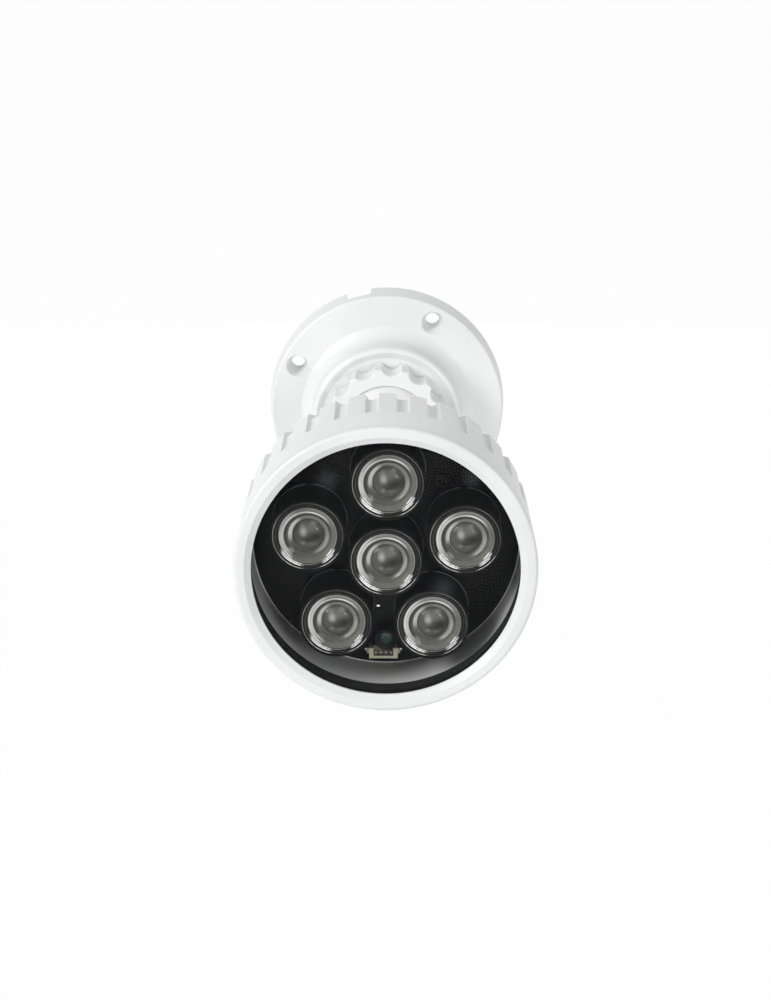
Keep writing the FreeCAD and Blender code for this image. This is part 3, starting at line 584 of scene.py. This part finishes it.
def stem_thread(paint):
    """Rolled thread on the bare part of the stem, between its shank and the lock nut."""
    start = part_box("stem_nut")[1].y + 0.08 * MM
    ridge = (
        (THREAD_ROOT, 0.0), (THREAD_CREST, 0.3), (THREAD_CREST, 0.45), (THREAD_ROOT, 0.75),
    )
    mesh = bmesh.new()
    verts = [
        mesh.verts.new((radius, start + part * THREAD_PITCH, 0)) for radius, part in ridge
    ]
    edges = [mesh.edges.new(pair) for pair in zip(verts, verts[1:] + verts[:1])]
    end = bmesh.ops.spin(
        mesh, geom=verts + edges, cent=(0, 0, 0), axis=(0, 1, 0),
        dvec=(0, THREAD_PITCH * THREAD_TURNS / THREAD_SEGMENTS, 0),
        angle=math.tau * THREAD_TURNS, steps=THREAD_SEGMENTS, use_merge=False,
    )["geom_last"]
    mesh.faces.new(verts)
    mesh.faces.new([item for item in end if isinstance(item, bmesh.types.BMVert)])
    new_piece("stem_thread", mesh, paint, "stem", sharp=30.0)


def camera():
    data = bpy.data.cameras.new("photo_camera")
    data.lens = CAMERA_LENS
    data.shift_x = CAMERA_SHIFT
    data.clip_start = 0.01
    view = bpy.data.objects.new("photo_camera", data)
    view.location = CAMERA_PLACE
    view.rotation_euler = (math.radians(90 - CAMERA_PITCH), 0, 0)
    bpy.context.scene.collection.objects.link(view)
    bpy.context.scene.camera = view


def surroundings():
    """A world that lights the lamp softly, and is white to the camera and to reflections."""
    world = bpy.data.worlds.new("studio")
    bpy.context.scene.world = world
    world.use_nodes = True
    graph = Graph(world.node_tree)
    lit = graph.tree.nodes["Background"]
    graph.join(lit.inputs["Color"], WHITE)
    graph.join(lit.inputs["Strength"], WORLD_LEVEL)
    white = graph.node("ShaderNodeBackground", inputs={"Color": WHITE, "Strength": 1.0})
    graph.show(lit, white, graph.seen(), "World Output")


def soft_light(name, place, size, power):
    data = bpy.data.lights.new(name, "AREA")
    data.shape = "SQUARE"
    data.size = size
    data.energy = power
    lamp = bpy.data.objects.new(name, data)
    lamp.location = place
    lamp.rotation_euler = (LIT_POINT - Vector(place)).to_track_quat("-Z", "Y").to_euler()
    bpy.context.scene.collection.objects.link(lamp)


def lay_floor():
    mesh = bmesh.new()
    bmesh.ops.create_grid(mesh, x_segments=8, y_segments=8, size=FLOOR_SIZE / 2)
    bmesh.ops.translate(mesh, verts=mesh.verts, vec=(0, 0, -FLOOR_DROP))
    data = bpy.data.meshes.new("floor")
    mesh.to_mesh(data)
    mesh.free()
    floor = bpy.data.objects.new("floor", data)
    bpy.context.scene.collection.objects.link(floor)
    finish(floor, floor_paint())


def dress():
    """Gives every node its finish, and adds the pieces that the CAD leaves plain."""
    zinc = turned_metal("zinc_plate", (0.62, 0.62, 0.58), 0.34)
    tinned = turned_metal("tinned_copper", (0.78, 0.77, 0.73), 0.28)
    rubber = moulding("seal_rubber", (0.017, 0.017, 0.0175), 0.62, grain=2400.0, level=0.2)
    stem = powder_coat("stem_coat", (0.90, 0.905, 0.90), 0.30)
    solder = bright_tin()
    # The white coats are one powder coat; the bezel's darker tone and the lock ring's and stem's
    # lighter ones are painted light and shade, set to how brightly these parts are lit
    finishes = {
        # Wall bracket
        "wall_base": powder_coat("bracket_coat", (0.87, 0.875, 0.875)),
        "lock_ring": powder_coat("ring_coat", (0.89, 0.895, 0.895)),
        "ball_seat": moulding("nylon", (0.66, 0.65, 0.60), 0.5),
        "ball_stem": stem,
        "stem_nut": zinc,
        "stem_washer": zinc,
        # Head
        "rear_housing": head_coat(),
        "front_bezel": powder_coat("bezel_coat", (0.815, 0.82, 0.82)),
        "front_glass": window_glass(),
        "glass_gasket": rubber,
        "lead_gland": rubber,
        # Emitter board
        "heat_plate": turned_metal("plate_aluminium", (0.70, 0.71, 0.72), 0.40),
        "plate_screws": zinc,
        "led_board": solder_mask("black_solder_mask", (0.0035, 0.0035, 0.0037)),
        "board_screws": moulding("blackened_screw", (0.006, 0.006, 0.0063), 0.20, level=0.3),
        "board_chip": solder,
        "photocell": cell_face(),
        "photocell_sleeve": moulding("hood_moulding", (0.007, 0.009, 0.0095), 0.42, level=0.3),
        "board_connector": socket_moulding(),
        "connector_contacts": tinned,
        # Driver board
        "feed_header": tinned,
        "driver_board": solder_mask("green_solder_mask", (0.014, 0.085, 0.040)),
        "board_spacers": turned_metal("brass_spacer", (0.72, 0.55, 0.28), 0.32),
        "spacer_screws": zinc,
        "driver_inductor": moulding("ferrite", (0.035, 0.033, 0.032), 0.55),
        "driver_capacitor": turned_metal("can_aluminium", (0.72, 0.73, 0.74), 0.30),
        "driver_chips": moulding("black_moulding", (0.004, 0.004, 0.0043), 0.34, level=0.10),
    }
    emitter = moulding("emitter_package", (0.42, 0.40, 0.34), 0.35)
    holder = holder_moulding()
    lens = lens_face()
    for number in LEDS:
        finishes[f"emitter_{number}"] = emitter
        finishes[f"lens_holder_{number}"] = holder
        finishes[f"lens_{number}"] = lens
    for node, paint in finishes.items():
        finish(nodes[node], paint)
    lenses(lens)
    solder_joints(solder)
    stem_thread(stem)


bpy.context.scene.view_settings.view_transform = "Standard"
camera()
surroundings()
for name, (place, size, power) in LIGHTS.items():
    soft_light(name, place, size, power)
lay_floor()
dress()
